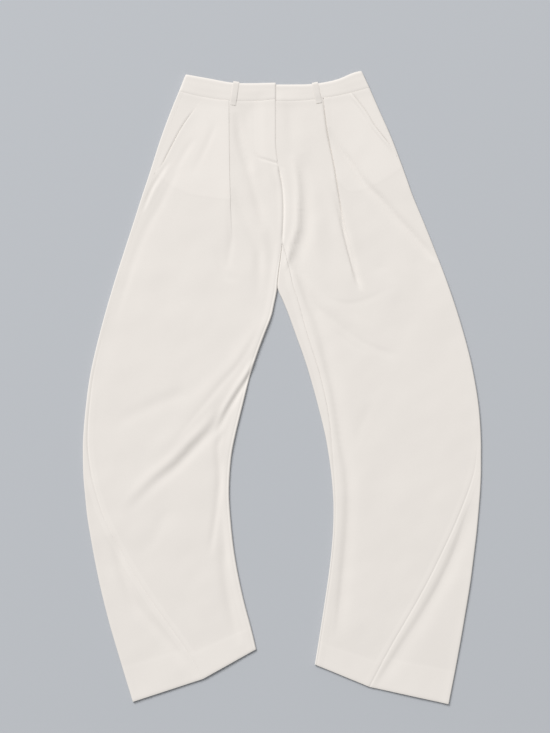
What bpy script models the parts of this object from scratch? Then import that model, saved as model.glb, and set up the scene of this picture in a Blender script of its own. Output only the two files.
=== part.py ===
"""Barrel leg trousers laid flat and face up, as closed cloth solids. Run in Blender: it models in metres, +Z up.

The waist points to +Y and the hems to -Y. Right and left are the wearer's, so the right leg lies at -X. Tables are in
millimetres: x from the middle of the laid garment, drop down from the highest point of the waistband. A leg is a
flattened tube. Its back panel lies on the surface and rolls up round both folds of the leg, and its front panel lies
on top, between the inseam and the outseam.
"""

import math
from typing import NamedTuple

import bmesh
import bpy
import numpy as np

MM = 0.001
MIDDLE_DROP = 535.6

# Thickness of the cloth, of the lined waistband, of the pocket bags and of the belt loops.
CLOTH = 1.2
BAND_CLOTH = 1.8
BAG_CLOTH = 1.0
LOOP_CLOTH = 1.2
SEAM_GAP = 0.3
PLY = CLOTH + SEAM_GAP

# Air between back and front: over the hips, in the legs, and the rise of the rounded folds above it.
HIP_AIR, LEG_AIR = 1.7, 2.1
HIP_FOLD_RISE, LEG_FOLD_RISE = 0.4, 0.8
LEAST_AIR, MOST_AIR = 0.5, 3.7
FOLD_RADIUS, FOLD_STEPS = 2.0, 4
FOLD_REACH = 13.0

# Stations down a leg, and the rows of the grid between one and the next.
WAIST_SEAM, CROTCH, FORK, KNEE, HEM = range(5)
ROWS_BETWEEN = (11, 4, 10, 14)
CROTCH_ROW = ROWS_BETWEEN[0]
FORK_ROW = CROTCH_ROW + ROWS_BETWEEN[1]

# Columns of a front panel inward and outward of its pleat, and how far they keep from the pleat's folds.
COLUMNS_INWARD, COLUMNS_OUTWARD = 6, 9
CLEAR_INWARD, CLEAR_OUTWARD = 6.0, 5.0

# The pleat's folds, counted in plies up from the lowest, when it lies closed and when it is a plain step.
PLIES_CLOSED = np.array((0.0, 0.5, 1.0, 1.0, 1.5, 2.0))
PLIES_OPEN = np.linspace(0.0, 2.0, 6)
PLEAT_DEPTH, PLEAT_LEAST_DEPTH = 14.0, 1.0
PLEAT_OPENING = 30.0
PLEAT_RELAX = 30.0
STEP_WIDTH, SPREAD_WIDTH = 0.5, 24.0

# Columns across the underside of a back panel, and across the part of it that shows beside the outseam.
UNDER_COLUMNS, WEDGE_COLUMNS = 5, 6

# The fly: the right front laps over the left one, lies flat near its edge, and comes down below the fly.
FLY_END = 150.0
FLY_LAP, FLY_LIFT = 8.0, PLY + 0.1
FLY_FLAT, FLY_RELAX = 16.0, 16.0
FLY_FADE = (160.0, 203.0)

# A pocket bag ends at BAG_END, narrows over its last rows, and the front rests on it down to BAG_CLEAR.
BAG_END, BAG_NARROWS = 225.0, 205.0
BAG_CLEAR = (228.0, 250.0)
BAG_TUCK = 2.0
BAG_SIDE_GAP, BAG_EDGE_WIDTH = 6.0, 14.0
BAG_DIP, BAG_DIP_RUN = 1.6, 45.0
MOUTH_LIFT = 0.6

# Heights of the middle of the waistband: in front, at the back, and at its two ends, which lap at the fly.
BAND_FRONT_Z, BAND_BACK_Z = 5.7, 0.9
BAND_LAP_Z, BAND_UNDER_Z = 6.1, 3.9
BAND_LAP_FROM, BAND_LAP_TO = 0.15, 0.4
BAND_UNDERLAP = 30.0
BAND_CORNER = 3.0
BAND_COLUMNS = 10

LOOP_WIDTH = 10.0
LOOP_ARCH, LOOP_LIFT = 0.5, 0.2

IVORY = (0.83, 0.79, 0.73, 1.0)


class Fold(NamedTuple):
    """A soft trough (depth below 0) or ridge in the upper cloth, along a curve through three points (x, drop)."""

    start: tuple
    through: tuple
    end: tuple
    depth: float
    half_width: float


class Leg(NamedTuple):
    """One leg and its half of the seat. Outward is the sign of x away from the centre line."""

    name: str
    outward: int
    inner_drops: tuple  # of the stations, at the inner edge
    outer_drops: tuple  # of the stations, at the outer edge
    inner_edge: tuple  # rows of drop, x
    outer_edge: tuple  # rows of drop, x
    waist_dip: float  # how far the waist seam sags between fly and side
    hem_peak: float  # how far the hem's corner at the outseam hangs below a straight hem
    inseam_inset: tuple  # rows of drop, distance of the inseam from the inner edge
    outseam_wrap: tuple  # rows of drop, distance of the outseam from the outer edge
    pocket_mouth: tuple  # rows of drop, distance of the pocket's mouth from the outer edge
    pleat_edge: tuple  # rows of drop, x
    pleat_open: tuple  # drops where the pleat stops overlapping, and where it has gone
    bag_corner: float  # how far the pocket bag's lower inner corner is cut back
    band_top: tuple  # rows of x, drop, from the centre front to the side
    loop: tuple  # belt loop: (x, drop) of its lower end, then of its upper end
    folds: tuple


RIGHT = Leg(
    name="right",
    outward=-1,
    inner_drops=(49, 292, 372, 645, 979.5),
    outer_drops=(32, 292, 372, 652, 1069),
    inner_edge=(
        (49, -11), (115, -11), (156, -7), (190, 0), (230, 2.7), (292, 0), (353, -7.2), (364, -8), (372, -8.8),
        (395, -13.4), (410, -16.6), (438, -26.9), (455, -33.5), (480, -42.5), (509, -52.2), (564, -66.3),
        (618, -79.4), (645, -84.8), (672, -87.9), (713, -89.8), (761, -87), (822, -79.9), (890, -66.5), (950, -50.8),
        (979.5, -43.8),
    ),
    outer_edge=(
        (32, -175), (60, -186.6), (111, -205.6), (175, -226.2), (210, -237.9), (255, -252.3), (349, -282.6),
        (415, -302), (482, -319.2), (523, -327.5), (564, -332.9), (600, -336.4), (640, -338.4), (686, -337.5),
        (720, -334.5), (754, -331), (795, -324.3), (836, -316.8), (880, -307.4), (940, -292.2), (999, -274.8),
        (1069, -253.6),
    ),
    waist_dip=9.0,
    hem_peak=12.0,
    inseam_inset=((292, 0.8), (372, 4.2), (985, 4.2)),
    outseam_wrap=(
        (32, 8.5), (159, 8.5), (210, 7.5), (372, 6.5), (489, 6), (600, 7), (652, 10), (740, 24), (832, 51),
        (931, 86), (1009, 114), (1069, 129.5),
    ),
    pocket_mouth=((32, 37), (64, 31), (95, 26.2), (121, 22.3), (139, 19), (160, 16)),
    pleat_edge=((49, -90.1), (149, -89.3), (217, -87.6), (285, -85), (372, -86)),
    pleat_open=(240, 322),
    bag_corner=24.0,
    band_top=((-11, 18), (-54, 19), (-80, 18.3), (-125, 10.7), (-165, 3.6)),
    loop=((-83.5, 56), (-77.5, 16)),
    folds=(
        Fold((-68, 122), (-47, 183), (-20, 280), -1.0, 11),
        Fold((-65, 224), (-51, 285), (-38, 353), -0.8, 11),
        Fold((-190, 190), (-212, 235), (-238, 300), -0.7, 12),
        Fold((-56, 512), (-88, 563), (-112, 600), -1.5, 9),
        Fold((-100, 580), (-170, 645), (-255, 727), -1.6, 12),
        Fold((-72, 520), (-150, 608), (-262, 700), 1.1, 14),
        Fold((-41, 441), (-100, 530), (-197, 645), -0.6, 9),
        Fold((-150, 540), (-217, 564), (-285, 604), -0.7, 13),
        Fold((-190, 745), (-218, 791), (-248, 826), -0.6, 13),
        Fold((-286, 812), (-238, 924), (-168, 1025), -1.3, 13),
        Fold((-105, 625), (-112, 693), (-119, 785), -0.9, 10),
        Fold((-100, 790), (-97, 863), (-88, 930), -0.8, 11),
    ),
)

LEFT = Leg(
    name="left",
    outward=1,
    inner_drops=(49, 292, 372, 645, 1005.5),
    outer_drops=(26, 292, 372, 648, 1073),
    inner_edge=(
        (49, -11), (115, -11), (156, -7), (190, 0), (230, 2.7), (292, 0), (353, -7.2), (364, -8), (372, -6), (385, 0),
        (410, 10.4), (430, 17.6), (455, 26.6), (480, 35.7), (509, 45.1), (564, 60.4), (618, 73.5), (645, 78.3),
        (672, 82.2), (700, 85.2), (740, 87.3), (781, 86.3), (836, 81.3), (890, 73.8), (970, 61.4), (1005.5, 55.6),
    ),
    outer_edge=(
        (26, 148.5), (60, 163.3), (111, 185.9), (175, 209.9), (210, 222.3), (255, 241), (300, 259), (349, 277.9),
        (415, 300.2), (482, 318.9), (523, 327.4), (564, 333.8), (600, 337), (640, 338.4), (672, 338.4), (700, 337.5),
        (727, 335.7), (781, 330.9), (820, 326.2), (863, 320.7), (930, 309.8), (999, 297.6), (1073, 283.2),
    ),
    waist_dip=7.0,
    hem_peak=10.5,
    inseam_inset=(
        (292, 0.8), (321, 12.2), (353, 23.5), (372, 27.5), (392, 25), (412, 22.3), (438, 20), (470, 18.5), (530, 17),
        (584, 13.6), (625, 10), (672, 7), (760, 5), (1005, 4.5),
    ),
    outseam_wrap=(
        (26, 6), (372, 5.5), (600, 5.5), (625, 6.5), (672, 11), (730, 26), (815, 53), (907, 84), (992, 115),
        (1073, 140.5),
    ),
    pocket_mouth=((26, 31), (57, 23), (67, 20.8), (87, 18.6), (104, 14), (119, 12), (160, 10.5)),
    pleat_edge=((49, 69.6), (101, 75.3), (156, 85.5), (210, 94), (268, 102.5), (312, 112.5), (346, 126), (372, 140)),
    pleat_open=(280, 362),
    bag_corner=30.0,
    band_top=((-11, 21), (28, 21), (55, 19.8), (95, 12), (122, 0.9), (136.5, -2.5)),
    loop=((63, 52.5), (55.5, 17.5)),
    folds=(
        Fold((25, 155), (32, 237), (15, 320), -1.2, 9),
        Fold((18, 325), (66, 404), (207, 482), -1.1, 11),
        Fold((46, 408), (61, 445), (72, 485), -0.8, 9),
        Fold((80, 560), (109, 743), (92, 945), -1.4, 11),
        Fold((86, 380), (122, 392), (184, 360), -0.9, 10),
        Fold((84, 131), (147, 206), (218, 276), -0.9, 11),
        Fold((170, 560), (147, 600), (134, 650), -0.5, 11),
        Fold((298, 780), (262, 880), (188, 1003), -1.5, 12),
        Fold((45, 170), (62, 260), (88, 350), 0.6, 13),
    ),
)


def smooth(table, at):
    """Reads a table of (position, value) rows as one smooth curve that never overshoots a row."""
    rows = np.array(table, float)
    position, value = rows[:, 0], rows[:, 1]
    step = np.diff(position)
    slope = np.diff(value) / step
    tangent = np.concatenate(([slope[0]], (slope[1:] + slope[:-1]) / 2, [slope[-1]]))
    turning = slope[1:] * slope[:-1] <= 0
    tangent[1:-1][turning] = 0.0
    limit = 2.5 * np.minimum(np.abs(slope[1:]), np.abs(slope[:-1]))
    tangent[1:-1] = np.clip(tangent[1:-1], -limit, limit)
    at = np.clip(np.asarray(at, float), position[0], position[-1])
    i = np.clip(np.searchsorted(position, at, side="right") - 1, 0, len(step) - 1)
    u = (at - position[i]) / step[i]
    start = (2 * u**3 - 3 * u**2 + 1) * value[i] + (u**3 - 2 * u**2 + u) * step[i] * tangent[i]
    end = (3 * u**2 - 2 * u**3) * value[i + 1] + (u**3 - u**2) * step[i] * tangent[i + 1]
    return start + end


def ease(low, high, at):
    """0 below low, 1 above high, and a soft step between."""
    u = np.clip((np.asarray(at, float) - low) / (high - low), 0, 1)
    return u * u * (3 - 2 * u)


def stations():
    """The station number of every grid row, from the waist seam to the hem."""
    parts = [np.arange(rows) / rows + i for i, rows in enumerate(ROWS_BETWEEN)]
    return np.append(np.concatenate(parts), HEM)


class Section:
    """One grid row of a leg, from its inner edge across to its outer edge. Across is measured from the inner edge."""

    def __init__(self, leg, station):
        self.leg, self.station = leg, float(station)
        self.inner_drop = float(smooth(tuple(enumerate(leg.inner_drops)), station))
        self.outer_drop = float(smooth(tuple(enumerate(leg.outer_drops)), station))
        self.inner_x = float(smooth(leg.inner_edge, self.inner_drop)) + leg.outward * 2 * SEAM_GAP / 3
        self.outer_x = float(smooth(leg.outer_edge, self.outer_drop))
        self.width = math.hypot(self.outer_x - self.inner_x, self.outer_drop - self.inner_drop)
        self.wrap = float(smooth(leg.outseam_wrap, self.outer_drop))
        self.inset = float(smooth(leg.inseam_inset, self.inner_drop)) if station >= CROTCH else 0.0
        self.beside_mouth = self.outer_drop < leg.pocket_mouth[-1][0]
        self.mouth = float(smooth(leg.pocket_mouth, self.outer_drop)) if self.beside_mouth else self.wrap

    def place(self, across):
        """x and drop of points across the row, with the waist seam's dip and the hem's corner."""
        share = np.asarray(across, float) / self.width
        x = self.inner_x + (self.outer_x - self.inner_x) * share
        drop = self.inner_drop + (self.outer_drop - self.inner_drop) * share
        dip = 4 * share * (1 - share) * self.leg.waist_dip * (1 - ease(WAIST_SEAM, CROTCH, self.station))
        corner = 1 - self.wrap / self.width
        tent = np.minimum(share / corner, (1 - share) / (1 - corner))
        peak = tent * self.leg.hem_peak * max(0.0, self.station - KNEE) ** 3
        return x, drop + dip + peak

    def points(self, across, z):
        """Points of the row in millimetres, +Y up the garment."""
        x, drop = self.place(across)
        return np.stack([x, MIDDLE_DROP - drop, np.broadcast_to(z, x.shape)], axis=-1)

    def across_at(self, line):
        """Where a line given as rows of (drop, x) crosses this row."""
        across = 0.0
        for _ in range(4):
            _, drop = self.place(across)
            across = (float(smooth(line, drop)) - self.inner_x) / (self.outer_x - self.inner_x) * self.width
        return across

    def upper(self, across):
        """Height of the middle of the upper cloth, with rounded edges and soft folds."""
        across = np.atleast_1d(across).astype(float)
        x, drop = self.place(across)
        legs = ease(CROTCH, FORK + 0.3, self.station)
        rise = HIP_FOLD_RISE + (LEG_FOLD_RISE - HIP_FOLD_RISE) * legs
        air = HIP_AIR + (LEG_AIR - HIP_AIR) * legs
        air = air + rise * np.exp(-(((self.width - across) / FOLD_REACH) ** 2))
        air = air + rise * legs * np.exp(-((across / FOLD_REACH) ** 2))
        air = np.clip(air + relief(self.leg.folds, x, drop), LEAST_AIR, MOST_AIR)
        over_bag = 1 - ease(*BAG_CLEAR, drop)
        return 1.5 * CLOTH + np.maximum(air, HIP_AIR * over_bag)


def relief(folds, x, drop):
    """Height that the folds add at points (x, drop)."""
    total = np.zeros(x.shape)
    u = np.linspace(0, 1, 65)
    for fold in folds:
        start, through, end = np.array(fold.start), np.array(fold.through), np.array(fold.end)
        bend = 2 * through - (start + end) / 2
        line = np.outer((1 - u) ** 2, start) + np.outer(2 * u * (1 - u), bend) + np.outer(u**2, end)
        away = np.hypot(x[:, None] - line[:, 0], drop[:, None] - line[:, 1])
        fade = np.sin(np.pi * u[away.argmin(axis=1)]) ** 0.7
        total += fold.depth * fade * np.exp(-((away.min(axis=1) / fold.half_width) ** 2))
    return total


def pleated(section, first, last):
    """Across positions of a front row's points, and how far the pleat lifts each. The pleat is a flat Z-fold at the
    waist, then a step, and spreads out to nothing."""
    leg = section.leg
    closed, gone = leg.pleat_open
    edge = section.across_at(leg.pleat_edge)
    _, drop = section.place(edge)
    edge += (PLY + CLOTH) / 2
    even = np.linspace(first, last, COLUMNS_INWARD + len(PLIES_OPEN) + COLUMNS_OUTWARD)
    if drop > leg.pleat_edge[-1][0]:
        return even, np.zeros(len(even))
    depth = PLEAT_DEPTH + (PLEAT_LEAST_DEPTH - PLEAT_DEPTH) * min(1.0, drop / closed)
    folded = np.array((depth, depth + PLY / 2, depth, 0.0, -PLY / 2, 0.0))
    spread = STEP_WIDTH + SPREAD_WIDTH * ease(closed + SPREAD_WIDTH, gone + 2 * SPREAD_WIDTH, drop)
    step = (PLIES_OPEN - 1) * spread
    opening = ease(closed - PLEAT_OPENING, closed, drop)
    in_fold = folded + (step - folded) * opening
    plies = PLIES_CLOSED + (PLIES_OPEN - PLIES_CLOSED) * opening
    inward = np.linspace(first, edge - CLEAR_INWARD + min(0.0, in_fold[0]), COLUMNS_INWARD)
    outward = np.linspace(edge + in_fold.max() + CLEAR_OUTWARD, last, COLUMNS_OUTWARD)
    across = np.concatenate([inward, edge + in_fold, outward])
    lift = PLY * (1 - ease(closed, gone, drop))
    relaxed = 2 * (1 - ease(0, PLEAT_RELAX, outward - outward[0]))
    lifted = lift * np.concatenate([np.zeros(len(inward)), plies, relaxed])
    loosened = ease(gone - SPREAD_WIDTH, leg.pleat_edge[-1][0], drop)
    return across + (even - across) * loosened, lifted


def front_panel(leg):
    """A front leg panel: fly or centre seam and inseam on one side, pocket mouth and outseam on the other."""
    grid = []
    for station in stations():
        section = Section(leg, station)
        first = section.inset + SEAM_GAP / 2 if section.inset else 0.0
        if leg is LEFT and section.inner_drop < FLY_END:
            first -= FLY_LAP
        across, lifted = pleated(section, first, section.width - section.mouth - SEAM_GAP / 2)
        heights = section.upper(across) + lifted
        if section.beside_mouth:
            heights[-1] += MOUTH_LIFT
        if leg is RIGHT:
            lapped = 1 - ease(FLY_FLAT, FLY_FLAT + FLY_RELAX, across)
            heights += FLY_LIFT * lapped * (1 - ease(*FLY_FADE, section.inner_drop))
        grid.append(section.points(across, heights))
    return np.array(grid)


def turn(edge, inward, low, high):
    """Points round a fold of the cloth, from its lower to its upper layer: across positions and heights."""
    angle = np.radians(np.linspace(-90, 90, FOLD_STEPS + 1))
    across = edge + inward * FOLD_RADIUS * (1 - np.cos(angle))
    return across, (low + high) / 2 + (high - low) / 2 * np.sin(angle)


def back_panel(leg):
    """A back leg panel: flat underneath, and rolled up round both folds of the leg to the two seams on top."""
    grid = []
    bottom = CLOTH / 2
    for row, station in enumerate(stations()):
        section = Section(leg, station)
        if row >= FORK_ROW:
            inner_z = section.upper(CLOTH / 2 + FOLD_RADIUS)[0]
            inner, inner_heights = turn(CLOTH / 2, 1, bottom, inner_z)
            inner, inner_heights = inner[::-1], inner_heights[::-1]
        else:
            inner = np.zeros(FOLD_STEPS + 1)
            inner_heights = np.full(FOLD_STEPS + 1, bottom)
            inner_heights[:2] = section.upper(0.0)
        seam = max(section.inset - SEAM_GAP / 2, inner[0] + SEAM_GAP)
        fold = section.width - CLOTH / 2
        outer, outer_heights = turn(fold, -1, bottom, section.upper(fold - FOLD_RADIUS)[0])
        under = np.linspace(inner[-1], outer[0], UNDER_COLUMNS + 2)[1:-1]
        wedge = np.linspace(outer[-1], section.width - section.wrap + SEAM_GAP / 2, WEDGE_COLUMNS + 1)[1:]
        across = np.concatenate([[seam], inner, under, outer, wedge])
        flat = np.full(UNDER_COLUMNS, bottom)
        heights = [section.upper(seam), inner_heights, flat, outer_heights, section.upper(wedge)]
        grid.append(section.points(across, np.concatenate(heights)))
    return np.array(grid)


def is_back(row, column):
    """Whether a cell of a back panel's grid is cloth. Above the fork of the legs there is no inner fold, and a tongue
    of the back runs up between the two inseams to the crotch."""
    if column == 0:
        return row >= CROTCH_ROW
    return column > FOLD_STEPS or row >= FORK_ROW


def pocket_bag(leg):
    """The pocket's bag. Its face fills the mouth, level with the outseam, and dips under the front."""
    grid = []
    low = CLOTH + SEAM_GAP + BAG_CLOTH / 2
    for station in stations():
        section = Section(leg, station)
        if section.outer_drop > BAG_END:
            break
        narrowing = leg.bag_corner * ease(BAG_NARROWS, BAG_END, section.outer_drop)
        if section.beside_mouth:
            outer = section.width - section.wrap - SEAM_GAP / 2
            face = np.linspace(outer, section.width - section.mouth - BAG_TUCK, 4)
            closing = ease(-BAG_DIP_RUN, 0, section.outer_drop - leg.pocket_mouth[-1][0])
            level = section.upper(outer)[0] - (CLOTH - BAG_CLOTH) / 2 - BAG_DIP * closing
            face_heights = low + (level - low) * np.array((1.0, 0.92, 0.5, 0.0))
        else:
            outer = section.width - section.wrap - BAG_SIDE_GAP
            face = np.linspace(outer, outer - BAG_EDGE_WIDTH, 4)
            face[0] -= narrowing / 2
            face_heights = np.full(4, low)
        inner = section.across_at(leg.pleat_edge) + PLY + narrowing
        hidden = np.linspace(face[-1], inner, 6)[1:]
        heights = np.concatenate([face_heights, np.full(len(hidden), low)])
        grid.append(section.points(np.concatenate([face, hidden]), heights))
    return np.array(grid)


def band_column(leg, share, inset, z, corner):
    """One column of the waistband, from its seam up to its top edge, at a share of the way from fly to side."""
    section = Section(leg, WAIST_SEAM)
    x, drop = section.place(share * section.width - inset)
    centre_x, side_x = leg.band_top[0][0], leg.band_top[-1][0]
    top_x = centre_x + (side_x - centre_x) * share - leg.outward * inset
    top = [(abs(x - centre_x), drop) for x, drop in leg.band_top]
    low = np.array((float(x), float(drop) - 2 * SEAM_GAP))
    high = np.array((top_x, float(smooth(top, abs(top_x - centre_x))) + corner))
    middle = low + (high - low) * 0.6 - np.array((0.0, 0.6 * corner))
    return np.array([(x, MIDDLE_DROP - drop, z) for x, drop in (low, middle, high)])


def waistband():
    """One strip, from its end under the fly, round by the left side and the back, to its end over the fly."""
    radius = (BAND_FRONT_Z - BAND_BACK_Z) / 2
    fold = radius + BAND_CLOTH / 2
    shares = np.linspace(0, 1, BAND_COLUMNS)
    angles = np.radians((45, 0, -45))

    def front(leg, share):
        end_z = BAND_LAP_Z if leg is RIGHT else BAND_UNDER_Z
        near = 1 - ease(BAND_LAP_FROM, BAND_LAP_TO, share)
        return band_column(leg, share, fold * share, BAND_FRONT_Z + (end_z - BAND_FRONT_Z) * near, 0.0)

    def side(leg, angle):
        inset = fold - radius * math.cos(angle)
        z = (BAND_FRONT_Z + BAND_BACK_Z) / 2 + radius * math.sin(angle)
        return band_column(leg, 1.0, inset, z, BAND_CORNER * math.cos(angle))

    def back(leg, share):
        return band_column(leg, share, fold * share, BAND_BACK_Z, 0.0)

    columns = [front(LEFT, -BAND_UNDERLAP / Section(LEFT, WAIST_SEAM).width)]
    columns += [front(LEFT, share) for share in shares]
    columns += [side(LEFT, angle) for angle in angles]
    columns += [back(LEFT, share) for share in shares[::-1]]
    columns += [back(RIGHT, share) for share in shares[1:]]
    columns += [side(RIGHT, angle) for angle in angles[::-1]]
    columns += [front(RIGHT, share) for share in shares[::-1]]
    return np.array(columns)


def belt_loop(leg):
    """A strip sewn on below the waistband, over it, and turned down behind its top edge."""
    low, high = np.array(leg.loop, float)
    length = np.linalg.norm(high - low)
    along = (high - low) / length
    beside = np.array((-along[1], along[0])) * LOOP_WIDTH / 2
    over_front = 2 * CLOTH + HIP_AIR + SEAM_GAP + LOOP_CLOTH / 2
    over_band = BAND_FRONT_Z + (BAND_CLOTH + LOOP_CLOTH) / 2 + SEAM_GAP + LOOP_LIFT
    rows = (
        (0.0, over_front),
        (1.6, over_front + 0.7),
        (3.8, over_band + 0.3),
        (length / 2, over_band + LOOP_ARCH),
        (length - 2.2, over_band),
        (length - 0.6, over_band - 0.5),
        (length, over_band - 1.6),
        (length, over_band - 2.9),
    )
    grid = []
    for run, z in rows:
        sides = (low + along * run - beside, low + along * run + beside)
        grid.append([(x, MIDDLE_DROP - drop, z) for x, drop in sides])
    return np.array(grid)


def cloth_material(name):
    material = bpy.data.materials.new(name)
    material.use_nodes = True
    shader = material.node_tree.nodes["Principled BSDF"]
    shader.inputs["Base Color"].default_value = IVORY
    shader.inputs["Roughness"].default_value = 0.85
    shader.inputs["Metallic"].default_value = 0.0
    return material


def lay(name, grid, thickness, is_cloth=None):
    """Makes one piece of cloth from the grid of points along its middle, and gives it its thickness."""
    rows, columns = grid.shape[:2]
    build = bmesh.new()
    made = {}

    def corner(row, column):
        if (row, column) not in made:
            made[row, column] = build.verts.new(grid[row, column] * MM)
        return made[row, column]

    for row in range(rows - 1):
        for column in range(columns - 1):
            if is_cloth is None or is_cloth(row, column):
                around = ((row, column), (row, column + 1), (row + 1, column + 1), (row + 1, column))
                build.faces.new([corner(*place) for place in around])
    bmesh.ops.recalc_face_normals(build, faces=build.faces)
    mesh = bpy.data.meshes.new(name)
    build.to_mesh(mesh)
    build.free()
    mesh.materials.append(cloth_material(f"{name}_cloth"))
    mesh.shade_smooth()
    mesh.set_sharp_from_angle(angle=math.radians(40))
    piece = bpy.data.objects.new(name, mesh)
    bpy.context.scene.collection.objects.link(piece)
    wall = piece.modifiers.new("wall", "SOLIDIFY")
    wall.thickness = thickness * MM
    wall.offset = 0.0


def main():
    for old in list(bpy.data.objects):
        bpy.data.objects.remove(old)
    for leg in (RIGHT, LEFT):
        lay(f"front_{leg.name}", front_panel(leg), CLOTH)
        lay(f"back_{leg.name}", back_panel(leg), CLOTH, is_back)
        lay(f"pocket_bag_{leg.name}", pocket_bag(leg), BAG_CLOTH)
        lay(f"belt_loop_{leg.name}", belt_loop(leg), LOOP_CLOTH)
    lay("waistband", waistband(), BAND_CLOTH)


main()
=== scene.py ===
"""Barrel leg trousers laid flat and face up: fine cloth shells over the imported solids, with folds, seams and weave.

Tables are in millimetres: x from the middle of the laid garment, drop down from the highest point of the waistband.
Right and left are the wearer's, so the right leg lies at -X. A leg is a flattened tube: its back panel lies on the
surface and rolls up round both folds of the leg, and its front panel lies on top between the inseam and the outseam.
"""

import functools
import math
from typing import NamedTuple

import bmesh
import bpy
import numpy as np
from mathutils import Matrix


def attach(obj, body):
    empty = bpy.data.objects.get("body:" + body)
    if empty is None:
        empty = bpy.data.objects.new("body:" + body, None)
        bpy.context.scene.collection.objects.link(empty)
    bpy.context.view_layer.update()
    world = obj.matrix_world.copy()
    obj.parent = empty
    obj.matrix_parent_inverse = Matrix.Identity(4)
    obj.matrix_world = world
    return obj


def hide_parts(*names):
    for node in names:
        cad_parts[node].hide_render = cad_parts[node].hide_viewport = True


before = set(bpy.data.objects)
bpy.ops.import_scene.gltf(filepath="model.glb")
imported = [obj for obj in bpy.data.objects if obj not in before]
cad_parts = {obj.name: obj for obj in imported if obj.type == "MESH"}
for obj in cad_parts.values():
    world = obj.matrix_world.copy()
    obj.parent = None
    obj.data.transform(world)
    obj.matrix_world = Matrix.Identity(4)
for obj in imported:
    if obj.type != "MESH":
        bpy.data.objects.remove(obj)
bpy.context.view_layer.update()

MM = 0.001
MIDDLE_DROP = 535.6

# Thickness of the cloth, of the lined waistband, of the pocket bags and of the belt loops.
CLOTH = 0.3
BAND_CLOTH = 1.1
BAG_CLOTH = 0.3
LOOP_CLOTH = 0.6
SEAM_GAP = 0.02
RIM_ANGLE = 60.0
PLY = CLOTH + 0.04

# Heights of the middle of the lower cloth, of the upper cloth over the hips and in the legs, and at the leg's folds.
LOWER_Z = 0.2
HIP_Z, LEG_Z = 3.8, 4.2
HIP_FOLD_RISE, LEG_FOLD_RISE = 0.1, 0.6
LEAST_Z, MOST_Z = 1.4, 8.6
FOLD_RADIUS, FOLD_STEPS = 1.7, 10
FOLD_REACH = 9.0

# Stations down a leg, the rows of the grid between one and the next, and extra rows beside the waist seam and the hem.
WAIST_SEAM, CROTCH, FORK, KNEE, HEM = range(5)
ROWS_BETWEEN = (150, 30, 92, 130)
ROWS_AT_SEAM = (0.002, 0.005)
ROWS_AT_HEM = (0.005, 0.0025, 0.001)

# Offsets from an edge of the first columns beside it, and the columns in all.
EDGE_OFFSETS = np.array((0.0, 0.5, 1.1, 1.9, 2.9, 4.2, 6.0, 8.4, 11.2))
COLUMNS_INWARD, COLUMNS_OUTWARD = 34, 44
CLEAR_INWARD, CLEAR_OUTWARD = 0.9, 0.3
TONGUE_COLUMNS, UNDER_COLUMNS, WEDGE_COLUMNS = 12, 12, 34

# The pleat's two folds, and how it opens, rises at its edge and relaxes outward.
TURN_STEPS = 5
PLEAT_DEPTH, PLEAT_LEAST_DEPTH = 14.0, 1.0
PLEAT_OPENING = 30.0
PLEAT_RELAX = 34.0
PUFF_REACH, PLEAT_PRESSED = 15.0, 16.0
STEP_WIDTH, SPREAD_WIDTH = 1.8, 24.0
GROOVE_WIDTH = 2.6

# The fly: the right front laps over the left one, lies flat near its edge, and comes down below the fly.
FLY_END = 150.0
FLY_LAP, FLY_LIFT = 8.0, PLY + 0.4
FLY_FLAT, FLY_RELAX = 16.0, 16.0
FLY_FADE = (160.0, 203.0)

# The pocket bags.
BAG_END, BAG_NARROWS = 225.0, 205.0
BAG_TUCK = 12.0
BAG_SIDE_GAP, BAG_EDGE_WIDTH = 6.0, 14.0
MOUTH_LIFT, MOUTH_REACH, MOUTH_GROOVE = 0.5, 9.0, 0.9

# A seam is a groove between two raised allowances. Hems, facings and bags show as a low step in the cloth.
SEAM_DEPTH, SEAM_WIDTH = 0.25, 1.2
CENTRE_SEAM = 1.3
ALLOWANCE_WIDTH, ALLOWANCE_RISE = 10.0, 0.12
FRONT_HEM, BACK_HEM, HEM_RISE = 37.0, 46.0, 0.15
BAG_RISE, FACING_RISE = 0.12, 0.2
WAIST_RISE, WAIST_REACH = 0.5, 8.0

# Heights of the middle of the waistband: in front, at the back, and at its two ends, which lap at the fly.
BAND_FRONT_Z, BAND_BACK_Z = 4.4, 0.6
BAND_LAP_Z, BAND_UNDER_Z = 5.0, 3.5
BAND_LAP_FROM, BAND_LAP_TO = 0.12, 0.4
BAND_UNDERLAP, UNDERLAP_TRIM = 30.0, 4.0
BAND_CORNER = 3.0
BAND_COLUMNS = 60
SEAM_BLEND = 20.0

LOOP_WIDTH = 10.0
LOOP_ARCH, LOOP_LIFT = 0.25, 0.05
# Painted shade: the belt loops take the ivory a little darker, though they are of the same suiting.
LOOP_PAINTED_SHADE = 0.955

# Low waves of the whole cloth, long and short: how many, their least and greatest lengths, and their height.
WAVES = ((26, 70.0, 210.0, 0.05), (34, 24.0, 60.0, 0.011))


class Fold(NamedTuple):
    """A soft fold along a path. Left and right are as seen from above by someone who walks down the path."""

    depth: float  # height of a ridge, or below 0 the depth of a trough
    tilt: float  # height of a step, up towards the right
    left: float  # half width on the left
    right: float  # half width on the right
    path: tuple  # rows of x, drop, strength from 0 to 1


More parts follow.
